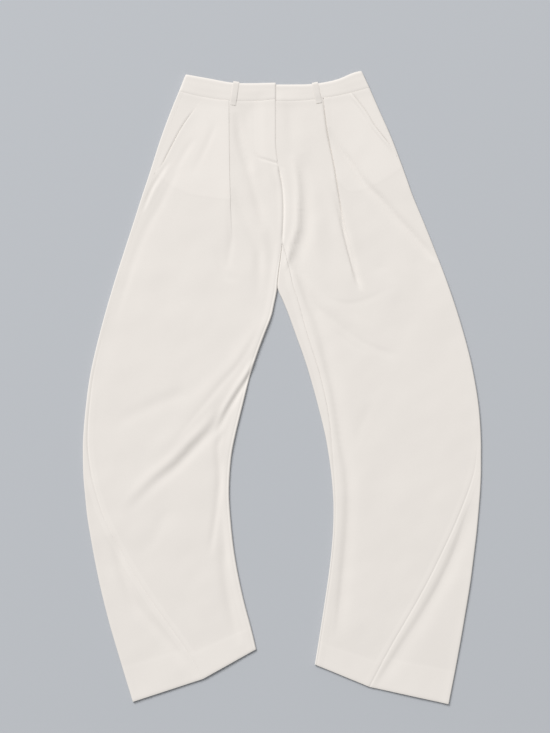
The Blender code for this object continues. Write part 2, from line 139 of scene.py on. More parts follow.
class Leg(NamedTuple):
    """One leg and its half of the seat. Outward is the sign of x away from the centre line."""

    name: str
    outward: int
    inner_drops: tuple  # of the stations, at the inner edge
    outer_drops: tuple  # of the stations, at the outer edge
    inner_edge: tuple  # rows of drop, x
    outer_edge: tuple  # rows of drop, x
    waist_dip: float  # how far the waist seam sags between fly and side
    hem_peak: float  # how far the hem's corner at the outseam hangs below a straight hem
    inseam_inset: tuple  # rows of drop, distance of the inseam from the inner edge
    inseam_step: float  # how far the back is raised and the front lowered at the inseam
    outseam_wrap: tuple  # rows of drop, distance of the outseam from the outer edge
    outseam_shows: tuple  # stations where the outseam starts to show, and where it shows fully
    outseam_depth: float  # depth of the groove at the outseam
    pocket_mouth: tuple  # rows of drop, distance of the pocket's mouth from the outer edge
    mouth_shows: tuple  # drops where the mouth's line starts to show, and where it shows fully
    mouth_lip: float  # height of the narrow lip beside the mouth
    pleat_edge: tuple  # rows of drop, x
    pleat_open: tuple  # drops where the pleat stops overlapping, and where it has gone
    pleat_form: tuple  # how far its edge puffs up, and how deep a groove lies beside it
    bag_corner: float  # how far the pocket bag's lower inner corner is cut back
    bag_bottom: tuple  # rows of distance from the centre line, drop: the mark of the bag's lower edge
    band_top: tuple  # rows of x, drop, from the centre front to the side
    loop: tuple  # belt loop: (x, drop) of its lower end, then of its upper end
    folds: tuple


RIGHT = Leg(
    name="right",
    outward=-1,
    inner_drops=(46, 292, 372, 645, 979.5),
    outer_drops=(32, 292, 372, 652, 1069),
    inner_edge=(
        (46, -11), (115, -11), (156, -7), (190, 0), (230, 2.7), (292, 0), (353, -7.2), (364, -8), (372, -8.8), (395, -13.4),
        (410, -16.6), (421, -20.2), (438, -26.9), (455, -33.5), (480, -42.5), (509, -52.2), (564, -66.3),
        (618, -79.4), (645, -84.8), (672, -87.9), (713, -89.8), (761, -87), (822, -79.9), (890, -66.5), (950, -50.8),
        (979.5, -43.8),
    ),
    outer_edge=(
        (32, -175), (60, -186.6), (111, -205.6), (175, -226.2), (210, -237.9), (255, -252.3), (349, -282.6),
        (415, -302), (482, -319.2), (523, -327.5), (564, -332.9), (600, -336.4), (640, -338.4), (686, -337.5),
        (720, -334.5), (754, -331), (795, -324.3), (836, -316.8), (880, -307.4), (940, -292.2), (999, -274.8),
        (1069, -253.6),
    ),
    waist_dip=9.0,
    hem_peak=12.0,
    inseam_inset=((292, 0.8), (372, 4.2), (985, 4.2)),
    inseam_step=0.0,
    outseam_wrap=(
        (32, 8), (159, 8), (210, 7.5), (372, 6.5), (489, 6), (600, 7), (652, 10), (740, 24), (832, 51),
        (931, 86), (1009, 114), (1069, 129.5),
    ),
    outseam_shows=(2.2, 3.0),
    outseam_depth=0.5,
    pocket_mouth=((32, 42), (61, 34.5), (75, 30.4), (95, 26.2), (121, 22.3), (139, 19.4), (155, 16.4), (164, 12.6), (172, 8)),
    mouth_shows=(48, 76),
    mouth_lip=0.0,
    pleat_edge=((49, -90.1), (149, -89.3), (217, -87.6), (285, -85), (372, -86)),
    pleat_open=(240, 322),
    pleat_form=(0.25, -0.25),
    bag_corner=24.0,
    bag_bottom=((80, 218), (90, 217), (122, 213), (156, 207), (187, 193), (215, 172)),
    band_top=((-11, 18), (-54, 19), (-80, 18.3), (-125, 10.7), (-165, 3.6)),
    loop=((-83.5, 56), (-77.5, 16)),
    folds=(
        Fold(
            -2.3, 0.0, 7, 8,
            ((-78, 67, 0), (-71, 111, 1.1), (-61, 149, 1.1), (-53, 179, 0.8), (-41, 224, 0.8), (-31, 271, 0)),
        ),
        Fold(-0.9, 0.0, 8, 8, ((-61, 57, 0), (-61, 89, 1), (-56, 132, 0.9), (-48, 169, 0))),
        Fold(
            -1.6, 0.0, 8, 9,
            ((-83, 196, 0), (-71, 230, 0.8), (-54, 268, 1), (-39, 309, 1), (-39, 349, 0.6), (-44, 387, 0)),
        ),
        Fold(-1.1, 0.0, 8, 9, ((-44, 186, 0), (-31, 234, 0.8), (-19, 285, 1), (-17, 332, 0.7), (-24, 378, 0))),
        Fold(-0.7, 0.0, 5, 6, ((-88, 213, 0), (-88, 254, 0.8), (-87, 285, 1), (-90, 315, 0.9), (-92, 336, 0))),
        Fold(-0.6, 0.0, 8, 6, ((-116, 295, 0), (-107, 322, 1), (-92, 348, 0.9), (-68, 353, 0))),
        Fold(
            -0.7, 0.0, 5, 6,
            (
                (-173, 162, 0), (-190, 190, 0.8), (-207, 225, 1), (-231, 268, 0.9),
                (-248, 310, 0.8), (-262, 353, 0.7), (-275, 395, 0.4), (-287, 438, 0),
            ),
        ),
        Fold(
            0.0, -0.7, 2.6, 3.2,
            ((-190, 152, 0), (-202, 173, 0.8), (-216, 195, 1), (-226, 217, 0.8), (-236, 241, 0)),
        ),
        Fold(-0.5, 0.0, 5, 6, ((-112, 84, 0), (-122, 111, 1), (-136, 142, 0.8), (-153, 176, 0))),
        Fold(-0.5, 0.0, 5, 6, ((-146, 108, 0), (-162, 132, 1), (-177, 159, 0.8), (-190, 183, 0))),
        Fold(
            0.0, 1.6, 4, 4,
            ((-48, 497, 0.5), (-61, 518, 0.9), (-77, 543, 1), (-94, 571, 0.9), (-105, 594, 0.5), (-116, 615, 0)),
        ),
        Fold(
            0.0, 1.7, 8, 8,
            (
                (-102, 569, 0), (-121, 598, 0.7), (-154, 633, 1), (-182, 662, 0.85),
                (-219, 693, 0.55), (-247, 721, 0.28), (-275, 751, 0),
            ),
        ),
        Fold(
            1.1, 0.0, 16, 20,
            ((-34, 438, 0), (-54, 475, 0.8), (-85, 530, 1), (-131, 570, 1), (-180, 618, 0.8), (-224, 662, 0)),
        ),
        Fold(
            -0.6, 0.0, 4, 5,
            (
                (-41, 438, 0), (-57, 468, 0.9), (-77, 500, 1), (-100, 526, 0.9),
                (-128, 560, 0.8), (-154, 591, 0.6), (-190, 635, 0),
            ),
        ),
        Fold(
            0.9, 0.0, 11, 13,
            ((-22, 414, 0), (-41, 438, 0.9), (-65, 472, 1), (-102, 513, 0.9), (-146, 555, 0.7), (-197, 608, 0)),
        ),
        Fold(-0.8, 0.0, 12, 12, ((-156, 540, 0), (-187, 552, 1), (-224, 567, 1), (-262, 587, 0.8), (-296, 611, 0))),
        Fold(-0.5, 0.0, 11, 11, ((-190, 737, 0), (-204, 761, 1), (-221, 798, 0.9), (-252, 825, 0))),
        Fold(
            -1.8, 0.0, 9, 9,
            (
                (-291, 785, 0), (-281, 812, 0.8), (-271, 849, 1), (-256, 890, 1),
                (-233, 922, 1), (-201, 958, 0.8), (-170, 994, 0.5), (-143, 1029, 0),
            ),
        ),
        Fold(
            -1.5, 0.0, 5, 6,
            ((-99, 608, 0), (-109, 638, 0.9), (-106, 686, 1), (-110, 735, 0.9), (-117, 786, 0.7), (-122, 822, 0)),
        ),
        Fold(
            -1.8, 0.0, 8, 9,
            ((-104, 761, 0), (-99, 803, 0.8), (-97, 849, 1), (-90, 897, 1), (-80, 941, 0.7), (-71, 973, 0)),
        ),
    ),
)

LEFT = Leg(
    name="left",
    outward=1,
    inner_drops=(49, 292, 372, 645, 1005.5),
    outer_drops=(26, 292, 372, 648, 1073),
    inner_edge=(
        (49, -11), (115, -11), (156, -7), (190, 0), (230, 2.7), (292, 0), (353, -7.2), (364, -8), (372, -6), (385, 0),
        (410, 10.4), (430, 17.6), (455, 26.6), (480, 35.7), (509, 45.1), (564, 60.4), (618, 73.5), (645, 78.3),
        (672, 82.2), (700, 85.2), (740, 87.3), (781, 86.3), (836, 81.3), (890, 73.8), (970, 61.4), (1005.5, 55.6),
    ),
    outer_edge=(
        (26, 148.5), (60, 163.3), (111, 185.9), (175, 209.9), (210, 222.3), (255, 241), (300, 259), (349, 277.9),
        (415, 300.2), (482, 318.9), (523, 327.4), (564, 333.8), (600, 337), (640, 338.4), (672, 338.4), (700, 337.5),
        (727, 335.7), (781, 330.9), (820, 326.2), (863, 320.7), (930, 309.8), (999, 297.6), (1073, 283.2),
    ),
    waist_dip=7.0,
    hem_peak=10.5,
    inseam_inset=(
        (292, 0.8), (321, 12.2), (353, 23.5), (372, 27.5), (392, 25), (412, 22.3), (438, 20), (470, 18.5), (530, 17),
        (584, 13.6), (625, 9), (672, 5.5), (760, 3.6), (1005, 3.2),
    ),
    inseam_step=0.3,
    outseam_wrap=(
        (26, 3), (372, 3.5), (600, 5), (625, 6.5), (672, 11), (730, 26), (815, 53), (907, 84), (992, 115),
        (1073, 140.5),
    ),
    outseam_shows=(2.85, 3.25),
    outseam_depth=0.3,
    pocket_mouth=((26, 31), (57, 23), (67, 20.8), (87, 18.6), (104, 14), (119, 9), (133, 5.2), (142, 3.4)),
    mouth_shows=(20, 40),
    mouth_lip=0.8,
    pleat_edge=(
        (49, 71), (101, 78), (156, 88.9), (210, 97.9), (239, 102.7), (281, 110), (312, 117.5), (346, 128), (372, 140),
    ),
    pleat_open=(280, 362),
    pleat_form=(0.5, 2.0),
    bag_corner=30.0,
    bag_bottom=((80, 182), (94, 185), (116, 203), (129, 202), (160, 190), (194, 169), (215, 150)),
    band_top=((-11, 21), (28, 21), (55, 19.8), (95, 12), (122, 0.9), (136.5, -2.5)),
    loop=((63, 52.5), (55.5, 17.5)),
    folds=(
        Fold(
            0.0, 2.2, 11, 4.5,
            ((22, 139, 0), (29, 173, 0.7), (32, 213, 0.9), (30, 261, 1), (22, 290, 1), (16, 312, 0.6), (8, 339, 0)),
        ),
        Fold(
            -2.2, 0.0, 14, 6,
            (
                (14, 305, 0), (22, 326, 0.9), (31, 346, 1.2), (44, 382, 1.2), (65, 446, 1), (76, 492, 1), (87, 540, 0.9),
                (100, 625, 0.9), (108, 667, 0.9), (112, 727, 0.9), (110, 778, 0.8), (104, 846, 0.8), (99, 897, 0.7), (92, 965, 0),
            ),
        ),
        Fold(
            -0.9, 0.0, 5, 8,
            (
                (15, 326, 0.2), (36, 366, 0.8), (53, 394, 1), (75, 412, 0.5),
                (102, 433, 0.35), (136, 458, 0.5), (170, 473, 0.5), (201, 482, 0),
            ),
        ),
        Fold(-0.3, 0.0, 4, 6, ((61, 407, 0), (95, 445, 1), (129, 468, 0.8), (160, 479, 0))),
        Fold(0.8, 0.0, 12, 12, ((37, 343, 0), (65, 382, 1), (107, 416, 0.8), (163, 448, 0))),
        Fold(
            -0.3, 0.0, 4, 7,
            (
                (71, 378, 0), (90, 388, 0.8), (114, 392, 1), (136, 388, 1),
                (160, 378, 0.8), (180, 365, 0.4), (194, 353, 0),
            ),
        ),
        Fold(-0.3, 0.0, 9, 9, ((163, 322, 0), (187, 336, 0.8), (204, 360, 1), (207, 383, 0))),
        Fold(-0.25, 0.0, 6, 6, ((150, 346, 0), (170, 332, 0.8), (180, 346, 1), (187, 356, 0))),
        Fold(-0.35, 0.0, 7, 9, ((156, 557, 0), (143, 581, 1), (131, 611, 0.9), (124, 645, 0))),
        Fold(
            -2.6, 0.0, 5.5, 7,
            (
                (78, 94, 0), (95, 125, 0.7), (116, 154, 1), (139, 186, 1), (167, 215, 1),
                (190, 241, 1), (218, 271, 1), (241, 298, 0.8), (262, 322, 0),
            ),
        ),
        Fold(
            -2.0, 0.0, 15, 6.5,
            (
                (321, 730, 0), (308, 773, 0.7), (292, 817, 1), (264, 876, 1),
                (235, 926, 0.8), (209, 966, 0.7), (175, 1019, 0.5), (150, 1057, 0),
            ),
        ),
        Fold(
            0.8, 0.0, 14, 22,
            ((235, 302, 0), (265, 366, 0.8), (296, 438, 1), (318, 509, 1), (330, 574, 0.7), (335, 652, 0)),
        ),
        Fold(
            -3.6, 0.0, 6, 3,
            ((88, 203, 0), (99, 244, 0.5), (108, 281, 1), (117, 315, 1), (125, 346, 0.9), (133, 371, 0)),
        ),
        Fold(-0.7, 0.0, 14, 6, ((10, 40, 0.3), (12, 72, 1), (14, 115, 1), (15, 145, 0))),
        Fold(-0.7, 0.0, 9, 9, ((46, 128, 0), (61, 183, 0.7), (78, 242, 1), (88, 293, 0.6), (97, 329, 0))),
        Fold(0.7, 0.0, 10, 10, ((37, 159, 0), (51, 234, 1), (61, 302, 0.8), (76, 373, 0))),
    ),
)

# The lower edge of the fly facing, which shows through the right front: its mark and its seam.
FACING_SIDE = -46.0
FACING_BOTTOM = ((-48, 126), (-44, 138), (-38, 145), (-30, 148), (-20, 151), (-4, 156))
FACING_SEAM = Fold(
    -1.0, 0.0, 1.7, 1.5, ((-47, 122, 0), (-44, 138, 0.4), (-38, 145, 0.8), (-30, 148, 1), (-20, 151, 1), (-4, 156, 1))
)


def smooth(table, at):
    """Reads a table of (position, value) rows as one smooth curve that never overshoots a row."""
    rows = np.array(table, float)
    position, value = rows[:, 0], rows[:, 1]
    step = np.diff(position)
    slope = np.diff(value) / step
    tangent = np.concatenate(([slope[0]], (slope[1:] + slope[:-1]) / 2, [slope[-1]]))
    turning = slope[1:] * slope[:-1] <= 0
    tangent[1:-1][turning] = 0.0
    limit = 2.5 * np.minimum(np.abs(slope[1:]), np.abs(slope[:-1]))
    tangent[1:-1] = np.clip(tangent[1:-1], -limit, limit)
    at = np.clip(np.asarray(at, float), position[0], position[-1])
    i = np.clip(np.searchsorted(position, at, side="right") - 1, 0, len(step) - 1)
    u = (at - position[i]) / step[i]
    start = (2 * u**3 - 3 * u**2 + 1) * value[i] + (u**3 - 2 * u**2 + u) * step[i] * tangent[i]
    end = (3 * u**2 - 2 * u**3) * value[i + 1] + (u**3 - u**2) * step[i] * tangent[i + 1]
    return start + end


def ease(low, high, at):
    """0 below low, 1 above high, and a soft step between."""
    u = np.clip((np.asarray(at, float) - low) / (high - low), 0, 1)
    return u * u * (3 - 2 * u)


def bump(distance, width):
    return np.exp(-((distance / width) ** 2))


@functools.lru_cache(maxsize=None)
def traced(path):
    """Points, directions and strengths along a fold's path."""
    rows = np.array(path, float)
    along = np.append(0.0, np.cumsum(np.hypot(*np.diff(rows[:, :2], axis=0).T)))
    at = np.linspace(0, along[-1], 140)
    x, drop, strength = (smooth(np.stack([along, column], axis=1), at) for column in rows.T)
    direction = np.stack([np.gradient(x), np.gradient(drop)])
    return x, drop, strength, direction / np.hypot(*direction)


def relief(folds, x, drop):
    """Height that the folds add at points (x, drop)."""
    total = np.zeros(x.shape)
    for fold in folds:
        line_x, line_drop, strength, direction = traced(fold.path)
        reach = 3.2 * max(fold.left, fold.right)
        near = (x > line_x.min() - reach) & (x < line_x.max() + reach)
        near &= (drop > line_drop.min() - reach) & (drop < line_drop.max() + reach)
        if not near.any():
            continue
        beside_x, beside_drop = x[near][:, None] - line_x, drop[near][:, None] - line_drop
        nearest = np.hypot(beside_x, beside_drop).argmin(axis=1)
        pick = (np.arange(len(nearest)), nearest)
        beside_x, beside_drop = beside_x[pick], beside_drop[pick]
        side = direction[0][nearest] * beside_drop - direction[1][nearest] * beside_x
        away = np.hypot(beside_x, beside_drop)
        share = np.where(side > 0, away / fold.right, -away / fold.left)
        form = fold.depth * np.exp(-(share**2)) + fold.tilt * share * np.exp(0.5 - share**2 / 2)
        total[near] += strength[nearest] * form
    return total


@functools.lru_cache(maxsize=None)
def waves():
    """Wave numbers across and down, phases and heights of the low waves."""
    pick = np.random.default_rng(11)
    parts = []
    for count, shortest, longest, height in WAVES:
        angle, phase = pick.uniform(0, math.pi, count), pick.uniform(0, math.tau, count)
        number = math.tau / pick.uniform(shortest, longest, count)
        parts.append((np.cos(angle) * number, np.sin(angle) * number, phase, np.full(count, height)))
    return tuple(np.concatenate(kind) for kind in zip(*parts))


def wavy(x, drop):
    """The slight unevenness of cloth that was smoothed by hand."""
    along_x, along_drop, phase, height = waves()
    angle = np.multiply.outer(x, along_x) + np.multiply.outer(drop, along_drop) + phase
    return np.sin(angle) @ height


def seam_form(distance, depth=SEAM_DEPTH):
    """Height beside a seam: a groove, then the raised allowance. Distances are from the seam."""
    allowance = ease(1.2, 3.5, distance) - ease(ALLOWANCE_WIDTH - 1.5, ALLOWANCE_WIDTH + 1.5, distance)
    return ALLOWANCE_RISE * allowance - depth * bump(distance, SEAM_WIDTH)


def allowance(distance):
    return 1 - ease(ALLOWANCE_WIDTH - 1.5, ALLOWANCE_WIDTH + 1.5, distance)


def spread(first, last, count):
    """Positions from first to last, close together beside both."""
    near = EDGE_OFFSETS * min(1.0, (last - first) / (3 * EDGE_OFFSETS[-1]))
    head, tail = first + near, last - near[::-1]
    middle = np.linspace(head[-1], tail[0], count - len(head) - len(tail) + 2)[1:-1]
    return np.concatenate([head, middle, tail])


@functools.lru_cache(maxsize=None)
def stations():
    """The station number of every grid row, from the waist seam to the hem, and the row of the crotch."""
    parts = [np.arange(rows) / rows + i for i, rows in enumerate(ROWS_BETWEEN)]
    listed = np.concatenate([*parts, ROWS_AT_SEAM, HEM - np.array(ROWS_AT_HEM), [HEM]])
    listed.sort()
    return listed, ROWS_BETWEEN[0] + len(ROWS_AT_SEAM)


class Section:
    """One grid row of a leg, from its inner edge across to its outer edge. Across is measured from the inner edge."""

    def __init__(self, leg, station):
        self.leg, self.station = leg, float(station)
        self.inner_drop = float(smooth(tuple(enumerate(leg.inner_drops)), station))
        self.outer_drop = float(smooth(tuple(enumerate(leg.outer_drops)), station))
        self.inner_x = float(smooth(leg.inner_edge, self.inner_drop)) + leg.outward * SEAM_GAP
        self.outer_x = float(smooth(leg.outer_edge, self.outer_drop))
        self.width = math.hypot(self.outer_x - self.inner_x, self.outer_drop - self.inner_drop)
        self.wrap = float(smooth(leg.outseam_wrap, self.outer_drop))
        self.inset = float(smooth(leg.inseam_inset, self.inner_drop)) if station >= CROTCH else 0.0
        self.twisted = float(ease(*leg.outseam_shows, station))
        self.forked = float(ease(CROTCH - 0.1, CROTCH, station))
        self.seam_step = leg.inseam_step * self.forked * float(1 - ease(KNEE - 0.3, KNEE + 0.1, station))
        self.beside_mouth = self.outer_drop < leg.pocket_mouth[-1][0]
        self.mouth = float(smooth(leg.pocket_mouth, self.outer_drop)) if self.beside_mouth else self.wrap
        above_end = leg.pocket_mouth[-1][0] - self.outer_drop
        self.mouth_shown = float(ease(*leg.mouth_shows, self.outer_drop) * ease(4, 30, above_end))

    def place(self, across):
        """x and drop of points across the row, with the waist seam's dip and the hem's corner."""
        share = np.asarray(across, float) / self.width
        x = self.inner_x + (self.outer_x - self.inner_x) * share
        drop = self.inner_drop + (self.outer_drop - self.inner_drop) * share
        dip = 4 * share * (1 - share) * self.leg.waist_dip * (1 - ease(WAIST_SEAM, CROTCH, self.station))
        corner = 1 - self.wrap / self.width
        tent = np.minimum(share / corner, (1 - share) / (1 - corner))
        peak = tent * self.leg.hem_peak * max(0.0, self.station - KNEE) ** 3
        return x, drop + dip + peak

    def points(self, across, z):
        """Points of the row in millimetres, +Y up the garment."""
        x, drop = self.place(across)
        return np.stack([x, MIDDLE_DROP - drop, np.broadcast_to(z, x.shape)], axis=-1)

    def across_at(self, line):
        """Where a line given as rows of (drop, x) crosses this row."""
        across = 0.0
        for _ in range(4):
            _, drop = self.place(across)
            across = (float(smooth(line, drop)) - self.inner_x) / (self.outer_x - self.inner_x) * self.width
        return across

    def above_hem(self):
        """Distance of the row from the hem."""
        length = self.leg.inner_drops[HEM] - self.leg.inner_drops[KNEE]
        return (HEM - self.station) * length if self.station > KNEE else length

    def below_waist(self):
        """Distance of the row from the waist seam."""
        return self.station * (self.leg.inner_drops[CROTCH] - self.leg.inner_drops[WAIST_SEAM])

    def hem_shows(self, across):
        """1 where the cloth is doubled by its hem, and 0 above it."""
        width = np.where(across > self.width - self.wrap, BACK_HEM, FRONT_HEM)
        return 1 - ease(width - 1.5, width + 1.5, self.above_hem())

    def upper(self, across):
        """Height of the middle of the upper cloth, with rounded edges, soft folds and the hem's step."""
        across = np.atleast_1d(across).astype(float)
        x, drop = self.place(across)
        legs = ease(CROTCH, FORK + 0.3, self.station)
        rise = HIP_FOLD_RISE + (LEG_FOLD_RISE - HIP_FOLD_RISE) * legs
        z = HIP_Z + (LEG_Z - HIP_Z) * legs + wavy(x, drop)
        z = z + rise * bump(self.width - across, FOLD_REACH) + rise * legs * bump(across, FOLD_REACH)
        z = np.clip(z + relief(self.leg.folds, x, drop), LEAST_Z, MOST_Z)
        hem, waist = self.above_hem(), self.below_waist()
        z = z + WAIST_RISE * bump(waist, WAIST_REACH) - 0.12 * bump(waist, 1.2)
        return z + HEM_RISE * self.hem_shows(across) - 0.5 * bump(hem, 1.4)


def pleat_turns(depth):
    """Across positions, from the pleat's edge, of the two turns of the flat Z-fold, and their heights in plies."""
    angle = np.radians(np.linspace(-90, 90, TURN_STEPS))
    under = depth + PLY / 2 * np.cos(angle)
    over = -PLY / 2 * np.cos(angle)
    return np.concatenate([under, over]), np.concatenate([0.5 + np.sin(angle) / 2, 1.5 + np.sin(angle) / 2])


def pleated(section, first, last):
    """Across positions of a front row's points, and how far the pleat lifts each. The pleat is a flat Z-fold at the
    waist, then a step, and spreads out to nothing."""
    leg = section.leg
    closed, gone = leg.pleat_open
    edge = section.across_at(leg.pleat_edge)
    _, drop = section.place(edge)
    edge += (PLY + CLOTH) / 2
    even = spread(first, last, COLUMNS_INWARD + 2 * TURN_STEPS + COLUMNS_OUTWARD)
    if drop > leg.pleat_edge[-1][0]:
        return even, np.zeros(len(even))
    depth = PLEAT_DEPTH + (PLEAT_LEAST_DEPTH - PLEAT_DEPTH) * min(1.0, drop / closed)
    folded, plies_closed = pleat_turns(depth)
    open_share = np.linspace(0, 1, 2 * TURN_STEPS)
    wide = STEP_WIDTH + SPREAD_WIDTH * ease(closed + SPREAD_WIDTH, gone + 2 * SPREAD_WIDTH, drop)
    opening = ease(closed - PLEAT_OPENING, closed, drop)
    in_fold = folded + ((2 * open_share - 1) * wide - folded) * opening
    plies = plies_closed + (2 * ease(0, 1, open_share) - plies_closed) * opening
    inward = spread(first, edge - CLEAR_INWARD + min(0.0, in_fold[0]), COLUMNS_INWARD)
    outward = spread(edge + in_fold[-1] + CLEAR_OUTWARD, last, COLUMNS_OUTWARD)
    across = np.concatenate([inward, edge + in_fold, outward])
    present = 1 - ease(closed, gone, drop)
    relaxed = 2 * (1 - ease(0, PLEAT_RELAX, outward - outward[0]))
    raised = np.concatenate([np.zeros(len(inward)), plies, relaxed])
    puff, groove = leg.pleat_form
    puff = puff * raised / 2 * bump(np.maximum(across - edge, 0), PUFF_REACH)
    loosened = ease(gone - SPREAD_WIDTH, leg.pleat_edge[-1][0], drop)
    beside = edge - across[: len(inward)]
    lifted = PLY * raised + puff
    lifted[: len(inward)] -= groove * bump(beside, GROOVE_WIDTH)
    pressed = 1 - 0.5 * bump(section.below_waist(), PLEAT_PRESSED)
    return across + (even - across) * loosened, lifted * present * pressed


def marks(leg, x, drop):
    """How far the fly facing and the pocket bag under a front show at each point, from 0 to 1 each."""
    bag = 1 - ease(-1.5, 1.5, drop - smooth(leg.bag_bottom, np.abs(x)))
    bag = bag * ease(leg.bag_bottom[0][0], leg.bag_bottom[0][0] + 8, np.abs(x))
    if leg is not RIGHT:
        return np.zeros(x.shape), bag
    facing = ease(FACING_SIDE - 1.2, FACING_SIDE + 1.2, x) * (1 - ease(-1.0, 1.0, drop - smooth(FACING_BOTTOM, x)))
    return facing, bag


def front_panel(leg):
    """A front leg panel: fly or centre seam and inseam on one side, pocket mouth and outseam on the other. Returns its
    grid of points and how far doubled cloth shows at each, the mask for the painted light on doubled cloth."""
    grid, layers = [], []
    for station in stations()[0]:
        section = Section(leg, station)
        first = section.inset + SEAM_GAP / 2 if section.inset else 0.0
        lapped_under = leg is LEFT and section.inner_drop < FLY_END
        if lapped_under:
            first -= FLY_LAP
        last = section.width - section.mouth - SEAM_GAP / 2
        across, lifted = pleated(section, first, last)
        x, drop = section.place(across)
        heights = np.maximum(section.upper(across) + lifted, LEAST_Z)
        facing, bag = marks(leg, x, drop)
        heights += FACING_RISE * facing + BAG_RISE * bag + relief((FACING_SEAM,), x, drop) * (leg is RIGHT)
        from_first, from_last = across - first, last - across
        if section.beside_mouth:
            shown = section.mouth_shown
            lip = leg.mouth_lip * (bump(from_last - 3.0, 2.4) - 0.35 * bump(from_last - 7.5, 1.4))
            heights += (MOUTH_LIFT * bump(from_last, MOUTH_REACH) + lip - 0.25 * bump(from_last, 0.9)) * shown
        else:
            heights += seam_form(from_last, leg.outseam_depth) * section.twisted
        if lapped_under:
            heights -= 0.3 * bump(from_first, 6.0)
        elif section.inner_drop > FLY_FADE[0]:
            centre = seam_form(from_first) - section.seam_step * bump(from_first, 2.6)
            centre -= CENTRE_SEAM * bump(from_first, 2.2) * (1 - section.forked)
            heights += centre * ease(FLY_FADE[0], FLY_FADE[0] + 12, section.inner_drop)
        if leg is RIGHT:
            lapped = 1 - ease(FLY_FLAT, FLY_FLAT + FLY_RELAX, across)
            over = 1 - ease(*FLY_FADE, section.inner_drop)
            heights += (FLY_LIFT * lapped - 0.5 * bump(from_first, 0.9)) * over
        grid.append(section.points(across, heights))
        doubled = np.maximum(allowance(from_last) * section.twisted, bag)
        doubled = np.maximum(doubled, facing if section.inner_drop < FLY_FADE[0] else allowance(from_first))
        layers.append(np.maximum(doubled, section.hem_shows(across)))
    return np.array(grid), np.array(layers)


def turn(edge, radius, low, high):
    """Points round a fold of the cloth, from its lower to its upper layer: across positions and heights."""
    angle = np.radians(np.linspace(-90, 90, FOLD_STEPS + 1))
    across = edge + radius * (1 - np.cos(angle))
    return across, (low + high) / 2 + (high - low) / 2 * np.sin(angle)


def back_panel(leg):
    """A back leg panel: flat underneath, and rolled up round both folds of the leg to the two seams on top. Returns
    its grid of points and how far doubled cloth shows at each, the mask for the painted light on doubled cloth."""
    grid, layers = [], []
    listed, crotch = stations()
    for row, station in enumerate(listed):
        section = Section(leg, station)
        if row >= crotch:
            radius = min(FOLD_RADIUS, 0.55 * section.inset)
            inner, inner_z = turn(CLOTH / 2, radius, LOWER_Z, section.upper(CLOTH / 2 + radius)[0])
            inner, inner_z = inner[::-1], inner_z[::-1]
        else:
            inner, inner_z = np.zeros(FOLD_STEPS + 1), np.full(FOLD_STEPS + 1, LOWER_Z)
        seam = max(section.inset - SEAM_GAP / 2, inner[0] + SEAM_GAP)
        tongue = seam + (inner[0] - seam) * np.linspace(0, 1, TONGUE_COLUMNS + 1)[:-1] ** 1.5
        fold = section.width - CLOTH / 2
        outer, outer_z = turn(fold, -FOLD_RADIUS, LOWER_Z, section.upper(fold - FOLD_RADIUS)[0])
        under = np.linspace(inner[-1], outer[0], UNDER_COLUMNS + 2)[1:-1]
        out_seam = section.width - section.wrap + SEAM_GAP / 2
        wedge = outer[-1] + (out_seam - outer[-1]) * (1 - np.linspace(1, 0, WEDGE_COLUMNS + 1)[1:] ** 1.5)
        across = np.concatenate([tongue, inner, under, outer, wedge])
        tongue_z = section.upper(tongue) + seam_form(seam - tongue) + section.seam_step * bump(seam - tongue, 3.5)
        wedge_z = section.upper(wedge) + seam_form(wedge - out_seam, leg.outseam_depth) * section.twisted
        heights = np.concatenate([tongue_z, inner_z, np.full(UNDER_COLUMNS, LOWER_Z), outer_z, wedge_z])
        grid.append(section.points(across, heights))
        doubled = section.hem_shows(across)
        doubled[:TONGUE_COLUMNS] = np.maximum(doubled[:TONGUE_COLUMNS], allowance(seam - tongue))
        doubled[-WEDGE_COLUMNS:] = np.maximum(doubled[-WEDGE_COLUMNS:], allowance(wedge - out_seam) * section.twisted)
        layers.append(doubled)
    return np.array(grid), np.array(layers)


def is_back(row, column):
    """Whether a cell of a back panel's grid is cloth. Above the crotch there is no inner fold, and no cloth of the back
    shows beside the centre seam."""
    return column >= TONGUE_COLUMNS + FOLD_STEPS or row >= stations()[1]


def pocket_bag(leg):
    """The pocket's bag. Its face fills the mouth, level with the outseam, and dips under the front."""
    grid = []
    low = 2 * LOWER_Z + 0.3 + BAG_CLOTH / 2
    for station in stations()[0]:
        section = Section(leg, station)
        if section.outer_drop > BAG_END:
            break
        narrowing = leg.bag_corner * ease(BAG_NARROWS, BAG_END, section.outer_drop)
        if section.beside_mouth:
            outer = section.width - section.wrap - SEAM_GAP / 2
            mouth = section.width - section.mouth
            near = outer + (mouth - outer) * (1 - np.linspace(1, 0, 10) ** 1.6)
            face = np.concatenate([near, mouth - BAG_TUCK * np.linspace(0, 1, 7)[1:]])
            face_z = section.upper(face) - MOUTH_GROOVE * section.mouth_shown * bump(face - mouth, 1.8)
            face_z += (low - face_z) * ease(0.3, BAG_TUCK, mouth - face)
        else:
            outer = section.width - section.wrap - BAG_SIDE_GAP
            face = np.linspace(outer, outer - BAG_EDGE_WIDTH, 16)
            face[0] -= narrowing / 2
            face_z = np.full(16, low)
        inner = section.across_at(leg.pleat_edge) + PLY + narrowing
        hidden = np.linspace(face[-1], inner, 10)[1:]
        grid.append(section.points(np.concatenate([face, hidden]), np.concatenate([face_z, np.full(9, low)])))
    return np.array(grid)


def seam_height(leg, share):
    """Height of the middle of a front at the waist seam, at a share of the way from fly to side."""
    section = Section(leg, WAIST_SEAM)
    across = share * section.width
    lapped = FLY_LIFT * (1 - ease(FLY_FLAT, FLY_FLAT + FLY_RELAX, across)) if leg is RIGHT else 0.0
    return section.upper(across)[0] + lapped


